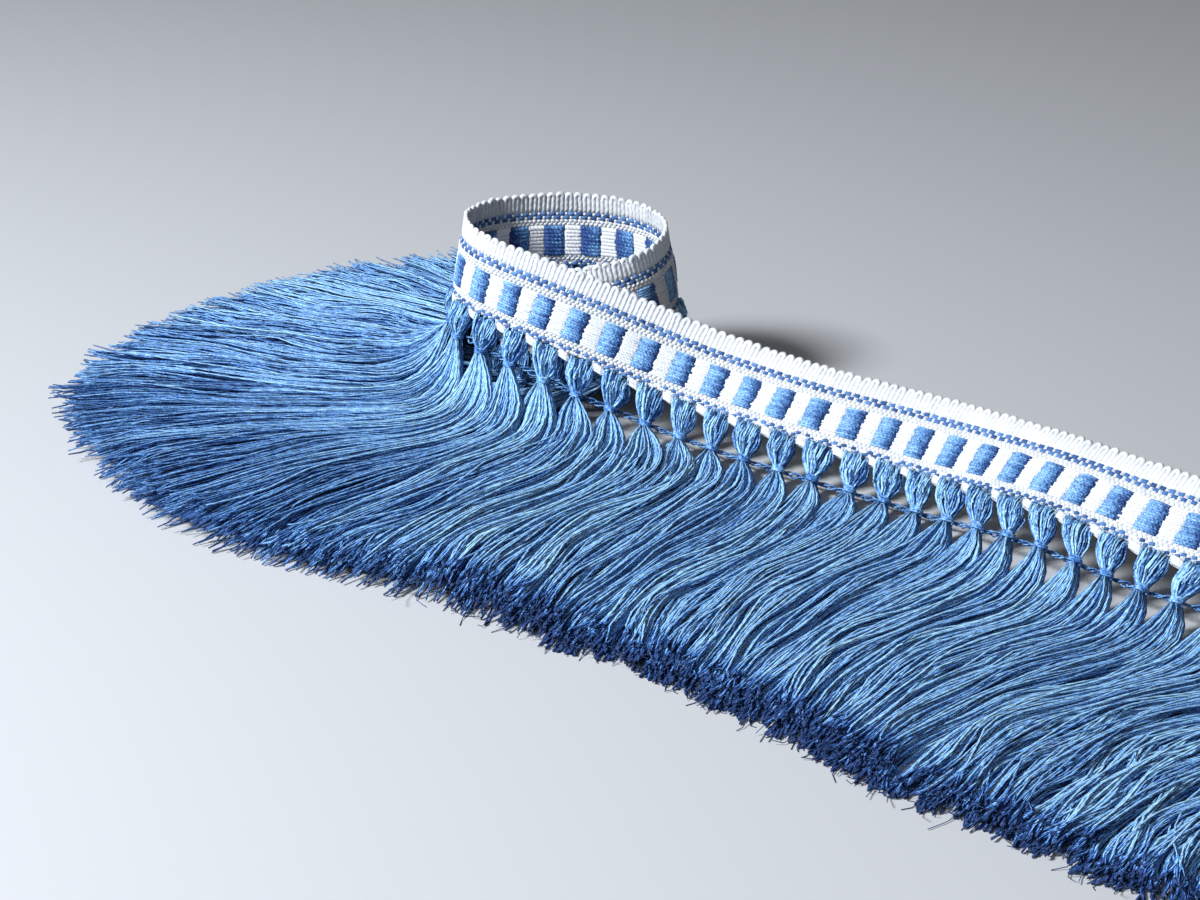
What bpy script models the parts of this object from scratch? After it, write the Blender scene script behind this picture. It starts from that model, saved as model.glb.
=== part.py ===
"""Tassel fringe: a white braid heading curled into one loop, with long blue tassels combed out over the floor.

Lengths are in millimetres until the meshes are made. X runs to the right along the fringe, Y away
from the viewer and Z up, and the fringe lies on Z = 0. A station is a distance along the braid's
top edge, measured from the point where TOP_START lies: the inner end has negative stations.
The tables of places are measured from a point near the loop, and BOX_CENTRE then brings the
middle of the finished fringe to the origin.
"""

import bmesh
import bpy
import numpy as np

MM = 0.001
BOX_CENTRE = (33.2, -43.6, 0.0)

# The braid
PITCH = 12.0
TAPE_HEIGHT = 25.0
INNER_END = -202.5
OUTER_END = 337.5
TAPE_STEP = 7.5
TOP_START = (-26.4, 30.6, 53.3)
STATION_STEP = 18.0
FIRST_STATION = -216.0
# The course of the braid, in degrees, one row every STATION_STEP from FIRST_STATION on.
# heading: 0 runs to the right and 90 towards the viewer. descent: how steeply it goes down.
# lean: how far the top edge leans back from upright.
COURSE = (
    # heading, descent, lean
    (448, -7, 7),
    (431, -8, 7),
    (403, -9, 7),
    (375, -13, 6),
    (329, -13, 9),
    (282, -9, 9),
    (238, -3, 8),
    (203, 0, 6),
    (173, 0, 1),
    (154, -1, 5),
    (112, 2, 6),
    (46, 7, 9),
    (23, 11, 11),
    (17, 16, 17),
    (5, 21, 23),
    (14, 19, 30),
    (27, 10, 40),
    (37, 3, 45),
    (36, 1, 46),
    (31, 1, 46),
    (40, -1, 44),
    (46, -4, 45),
    (47, -3, 51),
    (46, -1, 55),
    (49, -1, 53),
    (46, -2, 47),
    (39, -2, 47),
    (45, 0, 47),
    (45, 1, 46),
    (43, 1, 46),
    (42, 0, 46),
    (42, 0, 46),
    (42, 0, 46),
)
# The braid's cross-section: how far down from the top edge, as a share of the height, and half the thickness.
TAPE_PROFILE = (
    (0.00, 0.50),
    (0.19, 0.60),
    (0.30, 0.85),
    (0.42, 0.95),
    (0.76, 0.95),
    (0.86, 0.80),
    (1.00, 0.55),
)

# The tassels
SEAM_GAP = 0.45
HEAD_DROOP = 0.30
# A head and its knot: distance from the braid's lower edge, width and thickness.
HEAD_SECTIONS = (
    (0.0, 6.4, 2.2),
    (2.6, 8.0, 4.0),
    (5.6, 7.2, 4.2),
    (8.0, 3.3, 3.3),
    (9.8, 3.8, 3.6),
)
HEAD_SIDES = 6
NECK_AT = 11.6
NECK_WIDTH = 5.6
NECK_THICKNESS = 2.8
KNOT_AT = 8.9
# The knots lie this much further along the braid than the heads' roots.
KNOT_SHIFTS = (
    # station, shift
    (-10.0, 0.0),
    (8.0, 0.5),
    (20.0, 2.3),
    (104.0, 2.3),
    (118.0, 0.8),
    (140.0, 2.0),
    (176.0, 4.0),
    (212.0, 5.0),
    (236.0, 0.0),
    (248.0, -2.5),
    (262.0, 0.0),
)

# The skirts
LOCKS = 5
LOCK_SHARE = 0.84
LOCK_PLACES = (0.13, 0.27, 0.44, 0.72, 1.0)
LOCK_HEIGHTS = (3.8, 4.6, 4.8, 4.6, 3.8)
# A skirt has opened from its neck's width to the full repeat at this share of its length.
SPREAD_BY = 0.26
# The outer layer rests this high on the layer under it, and comes down to the floor near its tips.
# Past the loop the lift fades out over these stations.
CROSSING_LIFT = 5.6
LIFT_ENDS_AT = 0.86
LIFT_FADES_FROM = 24.0
LIFT_FADES_OVER = 100.0
# Where a skirt has come down to rest, as a share of its length.
OUTER_SETTLE = 0.26
UNDER_SETTLE = 0.40
# The line of a skirt in plan: it runs from the neck to a corner and turns there to its tip. Round the
# loop it runs straight out of the braid, and in front of the loop straight towards the viewer.
RUNS = (
    # station, distance from the neck to the corner
    (-50.0, 15.0),
    (-10.0, 28.0),
    (10.0, 34.0),
    (31.0, 34.0),
    (55.0, 39.0),
    (100.0, 35.0),
    (130.0, 29.0),
    (175.0, 25.0),
    (200.0, 23.0),
)
FRONT_FROM = -66.0
FRONT_OVER = 60.0
FRONT_HEADING = (0.0, -1.0)
CORNER_SOFTNESS = 0.18
BULGE = 5.0
# The two layers underneath turn away at these offsets from the braid's lower edge.
RIGHT_TURN = (-12.0, 8.0, -20.0)
INNER_TURN = (-9.0, -2.0, -16.0)
# Where the skirts of the outer layer end, by station: the place of the tips on the floor.
OUTER_TIPS = (
    # station, x, y
    (-112.0, 20.0, 190.0),
    (-88.0, -40.0, 174.0),
    (-76.0, -69.0, 163.0),
    (-64.0, -96.0, 147.0),
    (-52.0, -123.0, 124.0),
    (-40.0, -150.0, 91.0),
    (-28.0, -167.0, 55.0),
    (-22.0, -171.0, 29.0),
    (-16.0, -167.0, -1.0),
    (-10.0, -153.0, -31.0),
    (-4.0, -135.0, -60.0),
    (8.0, -107.0, -83.0),
    (20.0, -86.0, -95.0),
    (32.0, -67.0, -104.0),
    (44.0, -52.0, -111.0),
    (56.0, -39.0, -117.0),
    (68.0, -29.0, -125.0),
    (80.0, -21.0, -133.0),
    (104.0, -5.0, -144.0),
    (128.0, 13.0, -156.0),
    (152.0, 26.0, -167.0),
    (176.0, 37.0, -177.0),
    (200.0, 48.0, -189.0),
    (224.0, 57.0, -200.0),
    (248.0, 66.0, -210.0),
    (260.0, 74.0, -217.0),
    (284.0, 91.0, -232.0),
    (308.0, 112.0, -252.0),
    (345.0, 141.0, -279.0),
)
# The same for the tassels of the inner end and of the loop's right side, whose skirts lie under the others.
INNER_TIPS = (
    # station, x, y
    (-216.0, -136.0, 46.0),
    (-204.0, -136.0, 36.0),
    (-180.0, -130.0, 4.0),
    (-165.0, -116.0, -26.0),
    (-150.0, -102.0, -48.0),
)
RIGHT_TIPS = (
    # station, x, y
    (-160.0, -102.0, 94.0),
    (-144.0, -90.0, 110.0),
    (-126.0, -70.0, 126.0),
    (-100.0, -38.0, 140.0),
)
INNER_UNTIL = -158.0
RIGHT_UNTIL = -106.0

# The tie cord
CORD_DIAMETER = 1.5
CORD_SIDES = 5
CORD_BEHIND = 3.0

WHITE_COTTON = (0.86, 0.85, 0.82)
BLUE_COTTON = (0.12, 0.27, 0.56)


def unit(vector):
    return vector / np.linalg.norm(vector, axis=-1, keepdims=True)


def course_at(stations):
    """The heading, descent and lean, in radians, as a smooth curve through the rows of COURSE."""
    rows = np.radians(np.array(COURSE, float))
    place = (np.asarray(stations, float) - FIRST_STATION) / STATION_STEP
    row = np.clip(place.astype(int), 1, len(rows) - 3)
    f = (place - row)[:, None]
    before = (1 - f) ** 3 * rows[row - 1]
    here = (3 * f**3 - 6 * f**2 + 4) * rows[row]
    after = (-3 * f**3 + 3 * f**2 + 3 * f + 1) * rows[row + 1]
    return ((before + here + after + f**3 * rows[row + 2]) / 6).T


def directions(stations):
    """The unit vectors along the braid and up across it."""
    heading, descent, lean = course_at(stations)
    ch, sh, cd, sd = np.cos(heading), np.sin(heading), np.cos(descent), np.sin(descent)
    along = np.stack([ch * cd, -sh * cd, -sd], 1)
    upright = np.stack([ch * sd, -sh * sd, cd], 1)
    back = np.stack([sh, ch, np.zeros_like(sh)], 1)
    across = np.cos(lean)[:, None] * upright + np.sin(lean)[:, None] * back
    return along, across


FINE = np.arange(FIRST_STATION, OUTER_END + 8.0, 1.0)
ALONG, ACROSS = directions(FINE)
RUN = np.concatenate([[np.zeros(3)], np.cumsum((ALONG[1:] + ALONG[:-1]) / 2, 0)])
TOP_EDGE = np.array(TOP_START) + RUN - RUN[int(-FIRST_STATION)]


def sample(table, stations):
    return np.stack([np.interp(stations, FINE, table[:, k]) for k in range(3)], -1)


def braid_frame(stations):
    """The top edge, and the unit vectors along, up across and out of the braid's outer face."""
    along = unit(sample(ALONG, stations))
    across = sample(ACROSS, stations)
    face = unit(np.cross(along, across))
    return sample(TOP_EDGE, stations), along, np.cross(face, along), face


def make_object(name, verts, faces, colour, smooth=False):
    mesh = bpy.data.meshes.new(name)
    mesh.from_pydata([tuple((np.asarray(v) - BOX_CENTRE) * MM) for v in verts], [], faces)
    shaped = bmesh.new()
    shaped.from_mesh(mesh)
    bmesh.ops.triangulate(shaped, faces=[f for f in shaped.faces if len(f.verts) > 3])
    bmesh.ops.recalc_face_normals(shaped, faces=shaped.faces[:])
    shaped.to_mesh(mesh)
    shaped.free()
    mesh.shade_smooth() if smooth else mesh.shade_flat()
    material = bpy.data.materials.get(f"cotton_{colour[0]:.2f}")
    if material is None:
        material = bpy.data.materials.new(f"cotton_{colour[0]:.2f}")
        material.use_nodes = True
        shader = material.node_tree.nodes["Principled BSDF"]
        shader.inputs["Base Color"].default_value = (*colour, 1)
        shader.inputs["Roughness"].default_value = 0.9
    mesh.materials.append(material)
    thing = bpy.data.objects.new(name, mesh)
    bpy.context.scene.collection.objects.link(thing)
    return thing


def loft(rings):
    """The faces of a closed body through rings that all have the same number of points."""
    count = len(rings[0])
    faces = [tuple(reversed(range(count)))]
    for r in range(len(rings) - 1):
        for k in range(count):
            a, b = r * count + k, r * count + (k + 1) % count
            faces.append((a, b, b + count, a + count))
    last = (len(rings) - 1) * count
    faces.append(tuple(range(last, last + count)))
    return [p for ring in rings for p in ring], faces


def make_tape():
    stations = np.linspace(INNER_END, OUTER_END, int((OUTER_END - INNER_END) / TAPE_STEP) + 1)
    top, _, across, face = braid_frame(stations)
    rings = []
    for t, c, n in zip(top, across, face):
        front = [t - c * share * TAPE_HEIGHT + n * half for share, half in TAPE_PROFILE]
        back = [t - c * share * TAPE_HEIGHT - n * half for share, half in TAPE_PROFILE]
        rings.append(front + back[::-1])
    return make_object("heading_tape", *loft(rings), WHITE_COTTON, smooth=True)


def head_frame(station):
    """Where a tassel leaves the braid, and its unit vectors: along the braid, down the head, and out."""
    s = np.array([station])
    top, along, across, _ = (v[0] for v in braid_frame(s))
    down = unit(-across + HEAD_DROOP * np.array([0, 0, -1.0]))
    down = unit(down - along * (down @ along))
    start = top - across * (TAPE_HEIGHT + SEAM_GAP)
    return start, along, down, np.cross(down, along)


def down_head(station, distance):
    """The middle of a head or its knot, at a distance from the braid's lower edge."""
    start, along, down, _ = head_frame(station)
    shift = np.interp(station, *np.array(KNOT_SHIFTS).T)
    return start + down * distance + along * shift * min(distance / KNOT_AT, 1.0)


def tips_at(station, centre):
    """The place of the tips for a station of a tassel, from the table of the tassel's layer."""
    if centre < INNER_UNTIL:
        rows = INNER_TIPS
    elif centre < RIGHT_UNTIL:
        rows = RIGHT_TIPS
    else:
        rows = OUTER_TIPS
    table = np.array(rows)
    return np.array([np.interp(station, table[:, 0], table[:, k]) for k in (1, 2)])


def ease(share):
    """Rises from 0 to 1 and starts and ends level."""
    share = min(max(share, 0.0), 1.0)
    return share * share * (3 - 2 * share)


def resting_height(centre, share):
    """How high the underside of a skirt rests, at a share of its length."""
    if centre < RIGHT_UNTIL:
        return 0.0
    lift = CROSSING_LIFT * (1 - ease((centre - LIFT_FADES_FROM) / LIFT_FADES_OVER))
    return lift * (1 - ease((share - LIFT_ENDS_AT) / (1 - LIFT_ENDS_AT)))


def corner_at(station, centre):
    """The neck and the corner of the skirt's line for a station, in plan, and how far in front it lies, 0 to 1."""
    start, _, down, _ = head_frame(station)
    neck = down_head(station, NECK_AT)
    if centre < INNER_UNTIL:
        return neck[:2], (start + INNER_TURN)[:2], 0.0
    if centre < RIGHT_UNTIL:
        return neck[:2], (start + RIGHT_TURN)[:2], 0.0
    front = ease((station - FRONT_FROM) / FRONT_OVER)
    heading = unit(down[:2]) * (1 - front) + np.array(FRONT_HEADING) * front
    return neck[:2], neck[:2] + unit(heading) * np.interp(station, *np.array(RUNS).T), front


def skirt_point(station, centre, share):
    """A point in plan on the skirt's line for a station, from beside the neck at share 0 to the tip at 1."""
    neck, corner, front = corner_at(station, centre)
    leg = tips_at(station, centre) - corner
    reach = np.linalg.norm(leg)
    run = np.linalg.norm(corner - neck)
    turn = run / (run + reach)
    soft = min(CORNER_SOFTNESS, turn)
    turned = min(max((share - turn + soft) / (2 * soft), 0.0), 1.0)
    beyond = soft * turned**2 + max(share - turn - soft, 0.0)
    outward = beyond / (1 - turn)
    sideways = np.array([leg[1], -leg[0]]) / reach * BULGE * front * np.sin(np.pi * outward)
    return neck + (corner - neck) * (share - beyond) / turn + leg * outward + sideways


def spread(share):
    """How far a skirt has opened at a share of its length, from its neck's width to the full repeat."""
    neck = NECK_WIDTH / PITCH
    return neck + (1 - neck) * ease(share / SPREAD_BY)


def underside(root_z, centre, share):
    """The height of a skirt's underside: it falls from the knot and then rests."""
    rest = resting_height(centre, share)
    settle = UNDER_SETTLE if centre < RIGHT_UNTIL else OUTER_SETTLE
    return rest + max(root_z - rest, 0.0) * (1 - ease(share / settle))


def zip_faces(one, other):
    """Triangles between two rows of points, given by their numbers."""
    faces, i, j = [], 0, 0
    while i < len(one) - 1 or j < len(other) - 1:
        ahead = (i + 1) / max(len(one) - 1, 1) <= (j + 1) / max(len(other) - 1, 1)
        if j == len(other) - 1 or (ahead and i < len(one) - 1):
            faces.append((one[i], one[i + 1], other[j]))
            i += 1
        else:
            faces.append((one[i], other[j + 1], other[j]))
            j += 1
    return faces


def make_tassel(name, centre):
    """A head, a knot and the locks of the skirt, fused at the neck."""
    _, along, _, out = head_frame(centre)
    turn = np.arange(HEAD_SIDES) * 2 * np.pi / HEAD_SIDES
    rings = []
    for at, width, thickness in HEAD_SECTIONS:
        middle = down_head(centre, at)
        rings.append(
            [middle + along * np.cos(a) * width / 2 + out * np.sin(a) * thickness / 2 for a in turn]
        )
    verts, faces = loft(rings)
    faces.pop()
    last = (len(HEAD_SECTIONS) - 1) * HEAD_SIDES
    half = HEAD_SIDES // 2
    ring_out = [last + k for k in range(half + 1)]
    ring_in = [last + k % HEAD_SIDES for k in range(half, HEAD_SIDES + 1)][::-1]

    neck = down_head(centre, NECK_AT)
    cell = NECK_WIDTH / LOCKS
    # The side of the neck that ends on top: the inner one where the skirt turns in under the loop
    upper = out * NECK_THICKNESS / 2
    if INNER_UNTIL <= centre < RIGHT_UNTIL:
        upper = -upper
        ring_in, ring_out = ring_out, ring_in
    corners, under, over = [], [], []
    for k in range(LOCKS):
        middle = neck + along * (NECK_WIDTH / 2 - (k + 0.5) * cell)
        near = middle + along * cell * LOCK_SHARE / 2 - upper
        far = middle - along * cell * LOCK_SHARE / 2 - upper
        ridge = middle + upper
        first = len(verts)
        verts += [near, far, ridge]
        corners.append((first, first + 1, first + 2))
        under += [first, first + 1]
        over.append(first + 2)
    faces += zip_faces(ring_in, under)
    faces += zip_faces(ring_out, [under[0], *over, under[-1]])
    for a, b in zip(corners, corners[1:]):
        faces.append((a[1], a[2], b[2], b[0]))

    lane = PITCH / LOCKS
    for k, before in enumerate(corners):
        offset = PITCH / 2 - (k + 0.5) * lane
        sides = (offset + lane * LOCK_SHARE / 2, offset - lane * LOCK_SHARE / 2)
        for share, height in zip(LOCK_PLACES, LOCK_HEIGHTS):
            low = [skirt_point(centre + s * spread(share), centre, share) for s in sides]
            z = underside(neck[2] - NECK_THICKNESS / 2, centre, share)
            first = len(verts)
            verts += [np.array([*p, z]) for p in low]
            verts.append(np.array([*(low[0] + low[1]) / 2, z + height]))
            ring = (first, first + 1, first + 2)
            for i in range(3):
                j = (i + 1) % 3
                faces.append((before[i], before[j], ring[j], ring[i]))
            before = ring
        faces.append(before)
    return make_object(name, verts, faces, BLUE_COTTON)


def tassel_stations():
    count = int(round((OUTER_END - INNER_END) / PITCH))
    return [INNER_END + PITCH * (k + 0.5) for k in range(count)]


def make_cord():
    """The cord that links the tassels behind their knots."""
    line = []
    for station in tassel_stations():
        *_, out = head_frame(station)
        line.append(down_head(station, KNOT_AT) - out * CORD_BEHIND)
    line = np.array(line)
    points = []
    for a, b in zip(line, line[1:]):
        points += [a, (a + b) / 2]
    points = np.array([*points, line[-1]])
    forward = unit(np.gradient(points, axis=0))
    rings = []
    for p, f in zip(points, forward):
        side = unit(np.cross(f, [0, 0, 1.0]))
        up = np.cross(side, f)
        turn = np.arange(CORD_SIDES) * 2 * np.pi / CORD_SIDES
        rings.append([p + (side * np.cos(a) + up * np.sin(a)) * CORD_DIAMETER / 2 for a in turn])
    return make_object("tie_cord", *loft(rings), BLUE_COTTON, smooth=True)


def main():
    for thing in list(bpy.data.objects):
        bpy.data.objects.remove(thing, do_unlink=True)
    make_tape()
    for number, station in enumerate(tassel_stations(), 1):
        make_tassel(f"tassel_{number:02d}", station)
    make_cord()


main()
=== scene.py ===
"""The looks of the tassel fringe: every thread, stitch and picot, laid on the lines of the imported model.

Lengths are in millimetres until the meshes are made. X runs to the right along the fringe, Y away
from the viewer and Z up. A station is a distance along the braid's top edge, and a share is a part
of the braid's height from the top edge down, or a part of a skirt's length from its knot. Places
are measured from a point near the loop until BOX_CENTRE brings the object's middle to the origin.
"""

from functools import partial

import bpy
import numpy as np
from mathutils import Matrix, Vector


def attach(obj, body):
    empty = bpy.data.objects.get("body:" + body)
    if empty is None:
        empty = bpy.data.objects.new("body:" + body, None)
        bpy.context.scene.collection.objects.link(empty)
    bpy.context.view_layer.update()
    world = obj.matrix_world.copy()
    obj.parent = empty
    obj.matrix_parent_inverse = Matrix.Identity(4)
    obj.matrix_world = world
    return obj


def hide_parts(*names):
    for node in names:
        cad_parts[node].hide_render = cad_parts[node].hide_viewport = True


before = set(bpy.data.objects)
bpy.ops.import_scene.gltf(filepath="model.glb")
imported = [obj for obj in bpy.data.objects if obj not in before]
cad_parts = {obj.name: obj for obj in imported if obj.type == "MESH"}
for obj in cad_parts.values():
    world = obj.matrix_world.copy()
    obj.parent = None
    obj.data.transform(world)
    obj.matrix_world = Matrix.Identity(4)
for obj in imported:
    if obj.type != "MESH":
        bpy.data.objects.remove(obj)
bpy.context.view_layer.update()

MM = 0.001
BOX_CENTRE = (33.2, -43.6, 0.0)
UP = (0.0, 0.0, 1.0)
GOLDEN_RATIO = 0.618034

# The braid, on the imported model's course
PITCH = 12.0
TAPE_HEIGHT = 25.0
INNER_END = -202.5
OUTER_END = 337.5
REPEATS = int(round((OUTER_END - INNER_END) / PITCH))
TOP_START = (-26.4, 30.6, 53.3)
STATION_STEP = 18.0
FIRST_STATION = -216.0
# One row every STATION_STEP from FIRST_STATION on, in degrees. heading: 0 runs to the right and 90
# towards the viewer. descent: how steeply it goes down. lean: how far it leans back from upright.
COURSE = (
    # heading, descent, lean
    (448, -7, 7),
    (431, -8, 7),
    (403, -9, 7),
    (375, -13, 6),
    (329, -13, 9),
    (282, -9, 9),
    (238, -3, 8),
    (203, 0, 6),
    (173, 0, 1),
    (154, -1, 5),
    (112, 2, 6),
    (46, 7, 9),
    (23, 11, 11),
    (17, 16, 17),
    (5, 21, 23),
    (14, 19, 30),
    (27, 10, 40),
    (37, 3, 45),
    (36, 1, 46),
    (31, 1, 46),
    (40, -1, 44),
    (46, -4, 45),
    (47, -3, 51),
    (46, -1, 55),
    (49, -1, 53),
    (46, -2, 47),
    (39, -2, 47),
    (45, 0, 47),
    (45, 1, 46),
    (43, 1, 46),
    (42, 0, 46),
    (42, 0, 46),
    (42, 0, 46),
)
# The cloth under the stitches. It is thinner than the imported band, because the stitches lie on it.
TAPE_PROFILE = (
    # share of the height, half thickness
    (0.00, 0.35),
    (0.19, 0.40),
    (0.30, 0.60),
    (0.42, 0.70),
    (0.76, 0.70),
    (0.86, 0.60),
    (1.00, 0.40),
)
CLOTH_STEP = 1.5
CLOTH_SHARES = (0.0, 0.10, 0.19, 0.25, 0.30, 0.385, 0.42, 0.5, 0.6, 0.7, 0.76, 0.79, 0.86, 0.91, 0.935)
# How far the weave's pattern moves on from one of these shares to the next
WEAVE_STEP = 0.8

# The picots: an arc over two legs, LEG to each side of its middle. The legs' points are at
# LEG_HEIGHTS from the braid's top edge.
PICOT_PITCH = 3.0
PICOT_RADIUS = 0.84
LEG = 0.78
LEG_HEIGHTS = (-5.0, -3.6, -2.2, -0.9)

# The stitches. A stitch is its length, width, height and slant in degrees.
STITCH_PITCH = 1.5
UPPER_CHECKS = (0.222, 0.272)
UPPER_BLUE = (1.85, 1.25, 0.55, 0.0)
UPPER_WHITE = (1.15, 1.20, 0.62, 0.0)
LOWER_CHECKS = (0.877, 0.915)
LOWER_BLUE = (1.60, 1.00, 0.60, 8.0)
LOWER_WHITE = (1.25, 0.95, 0.60, 12.0)
MISSING_CHECKS = 0.12
RIDGES = (
    # share of the height, shift along the braid, stitch
    (0.318, 0.00, (1.75, 1.35, 0.72, 35.0)),
    (0.358, 0.75, (1.75, 1.35, 0.68, -28.0)),
    (0.805, 0.00, (1.70, 1.10, 0.66, 32.0)),
    (0.842, 0.75, (1.70, 1.10, 0.70, -32.0)),
)

# The blocks of floats, white ones over the tassels and blue ones between
FLOATS_FROM = 0.392
FLOATS_TO = 0.785
FLOAT_POINTS = 6
BLOCKS = (
    # material slot, place in the repeat, length, height of its dome, painted shade towards its end further
    # along the braid
    (0, 6.0, 6.1, 0.35, 0.08),
    (1, 0.0, 6.5, 0.90, 0.60),
)
# Painted shade on the blue floats of the back face, which lines the inside of the loop
BLUE_BACK_PAINTED_SHADE = 0.30
FLOAT_FACES = (
    # face of the braid, threads a block, radius, sides of the tube, flatness
    (1, 13, 0.47, 5, 1.0),
    (-1, 8, 1.12, 4, 0.32),
)

# The tabs along the lower edge
TAB_THREADS = 5
TAB_POINTS = 7
TABS_FROM = 0.942
TAB_STEP = 0.018
TAB_SLOPE = 0.016
TAB_HALF_LENGTH = 2.3
TAB_HEIGHT = 1.15
TAB_RADIUS = 0.40

# The heads and knots
SEAM_GAP = 0.45
HEAD_DROOP = 0.30
KNOT_AT = 8.9
NECK_AT = 11.6
# The knots lie this much further along the braid than the heads' roots
KNOT_SHIFTS = (
    # station, shift
    (-10.0, 0.0),
    (8.0, 0.5),
    (20.0, 2.3),
    (104.0, 2.3),
    (118.0, 0.8),
    (140.0, 2.0),
    (176.0, 4.0),
    (212.0, 5.0),
    (236.0, 0.0),
    (248.0, -2.5),
    (262.0, 0.0),
)
# The sections of the lobes, from the root to below the knot. The second and third vary in width, the
# third in its distance, and the third and fourth lean.
LEFT_LOBE = (
    # middle and half width along the braid, distance down the head, middle and half depth outward
    (-1.20, 2.90, -1.7, 0.95, 0.25),
    (-1.10, 2.85, 0.6, 1.15, 1.00),
    (-1.40, 2.45, 3.4, 0.95, 1.90),
    (-0.90, 1.60, 6.6, 0.55, 1.45),
    (-0.45, 0.95, 8.5, 0.00, 1.10),
    (-0.22, 1.00, 10.5, 0.00, 1.10),
)
RIGHT_LOBE = (
    # the same
    (2.10, 1.90, -1.4, -0.45, 0.20),
    (2.30, 2.10, 0.9, -0.25, 1.20),
    (2.15, 2.20, 3.3, -0.25, 1.75),
    (1.15, 1.35, 6.5, -0.10, 1.30),
    (0.45, 0.95, 8.5, 0.00, 1.10),
    (0.22, 1.00, 10.5, 0.00, 1.10),
)
LOBES = (
    # sections, threads, tilt and unevenness of the root, shade; the right lobe's lower shade is painted
    # shade on its side away from the lamps
    (LEFT_LOBE, 22, 0.25, 0.40, 0.60),
    (RIGHT_LOBE, 20, 0.30, 0.00, 0.45),
)
HEAD_POINTS = 11
ROOT_THREADS = 10
WRAP_TURNS = 3
WRAP_POINTS = 34
WRAP_CIRCLE = 1.80
WRAP_RADIUS = 0.42

# The tie cord
CORD_BEHIND = 2.7
CORD_STEPS = 12
CORD_STRANDS = 3
CORD_LAY = 9.0
STRAND_RADIUS = 0.34

# Ramps along the braid: the station where a change starts, and how many mm it takes. The skirts come
# in front of the loop, settle on the ones under them, get ragged ends with deeper painted shade at the cut,
# get restless and come down from the crossing, and the painted shade on part of the fan comes and goes.
IN_FRONT = (-66.0, 60.0)
SETTLED = (-30.0, 60.0)
RAGGED = (-5.0, 80.0)
RESTLESS = (250.0, 60.0)
LIFT_FADES = (24.0, 100.0)
PAINTED_FAN_SHADE_COMES = (-40.0, 25.0)
PAINTED_FAN_SHADE_GOES = (10.0, 30.0)
# Ramps in shares of a skirt's length: the sway, the wander, and the painted shade towards the fan's tips
# and on the cut ends
SWAYING = (0.12, 0.35)
WANDERING = (0.0, 0.30)
FAN_PAINTED_SHADE = (0.25, 0.50)
CUT_PAINTED_SHADE = (0.958, 0.036)

# How the skirts lie. The tassels of the inner end come before INNER_UNTIL and those of the loop's right
# side before RIGHT_UNTIL. Their skirts lie under the others, which are the outer layer.
INNER_UNTIL = -158.0
RIGHT_UNTIL = -106.0
# The outer layer rests this high on the layer under it, and comes down near its tips, from this share on
CROSSING_LIFT = 5.6
LIFT_ENDS_AT = 0.86
# Where a skirt has come down to rest, as a share of its length
OUTER_SETTLE = 0.28
UNDER_SETTLE = 0.42
# The line of a skirt in plan runs from the neck to a corner and turns there to its tip. Round the loop
# it starts straight out of the braid, and in front of the loop by FRONT_HEADINGS.
RUNS = (
    # station, distance from the neck to the corner
    (-50, 17),
    (-10, 33),
    (10, 39),
    (31, 39),
    (55, 42),
    (100, 32),
    (130, 25),
    (175, 19),
    (200, 17),
)
FRONT_HEADINGS = (
    # station, x and y of the way that a skirt falls from its knot
    (60, 0, -1),
    (140, -0.28, -0.96),
    (220, -0.38, -0.92),
)
# The share of a skirt's length before and after its corner that the turn takes
CORNER_SOFTNESS = 0.20
BULGES = (
    # station, how far the skirt bulges to the side between its corner and its tip
    (40, 5),
    (110, 9),
    (220, 10),
)
# The two layers underneath turn at these offsets from the braid's lower edge, in plan
RIGHT_TURN = (-12.0, 8.0)
INNER_TURN = (-9.0, -2.0)
# Where the skirts end, by station: the place of the tips on the floor
OUTER_TIPS = (
    # station, x, y
    (-112, 20, 190),
    (-88, -40, 174),
    (-76, -69, 163),
    (-64, -96, 147),
    (-52, -123, 124),
    (-40, -150, 91),
    (-28, -167, 55),
    (-22, -171, 29),
    (-16, -167, -1),
    (-10, -153, -31),
    (-4, -135, -60),
    (8, -107, -83),
    (20, -86, -95),
    (32, -67, -104),
    (44, -52, -111),
    (56, -39, -117),
    (68, -29, -125),
    (80, -21, -133),
    (104, -5, -144),
    (128, 13, -156),
    (152, 26, -167),
    (176, 37, -177),
    (200, 48, -189),
    (224, 57, -200),
    (248, 66, -210),
    (260, 74, -217),
    (284, 93, -233),
    (308, 117, -254),
    (345, 149, -280),
)
INNER_TIPS = (
    # station, x, y
    (-216, -136, 46),
    (-204, -136, 36),
    (-180, -130, 4),
    (-165, -116, -26),
    (-150, -102, -48),
)
RIGHT_TIPS = (
    # station, x, y
    (-160, -102, 94),
    (-144, -90, 110),
    (-126, -70, 126),
    (-100, -38, 140),
)

# The threads of a skirt: locks side by side, each an arch of threads over a core in dark yarn that is
# painted shade, with strays over them. A skirt that fans out has more locks, by this power of how many
# times wider it is at its tips.
LOCKS = 8
FAN_POWER = 0.36
THREADS_A_LOCK = 12
HIDDEN_LOCKS = 6
HIDDEN_THREADS_A_LOCK = 9
STRAYS = 5
THREAD_POINTS = 18
THREAD_RADIUS = 0.35
CORE_POINTS = 12
# A thread's points lie a little closer at the knot, and the last step is short, for the end's flick
THREAD_SHARES = np.append(np.linspace(0, 0.975, THREAD_POINTS - 1) ** 1.08, 1.0)
THREAD_ENDS = np.clip((THREAD_SHARES - 0.96) / 0.04, 0, 1)
SKIRT_HEIGHTS = (
    # share of the skirt's length, height of its threads
    (0.00, 2.6),
    (0.12, 3.8),
    (0.27, 4.8),
    (0.70, 5.0),
    (0.90, 5.2),
    (1.05, 4.8),
)
# The skirts' lines start this far below the middle of the knot
SKIRT_FROM = 1.0
# How wide a skirt is at its knot, in repeats, and the share of its length where it has opened
KNOT_SPREAD = 0.22
SPREAD_BY = 0.14
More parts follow.
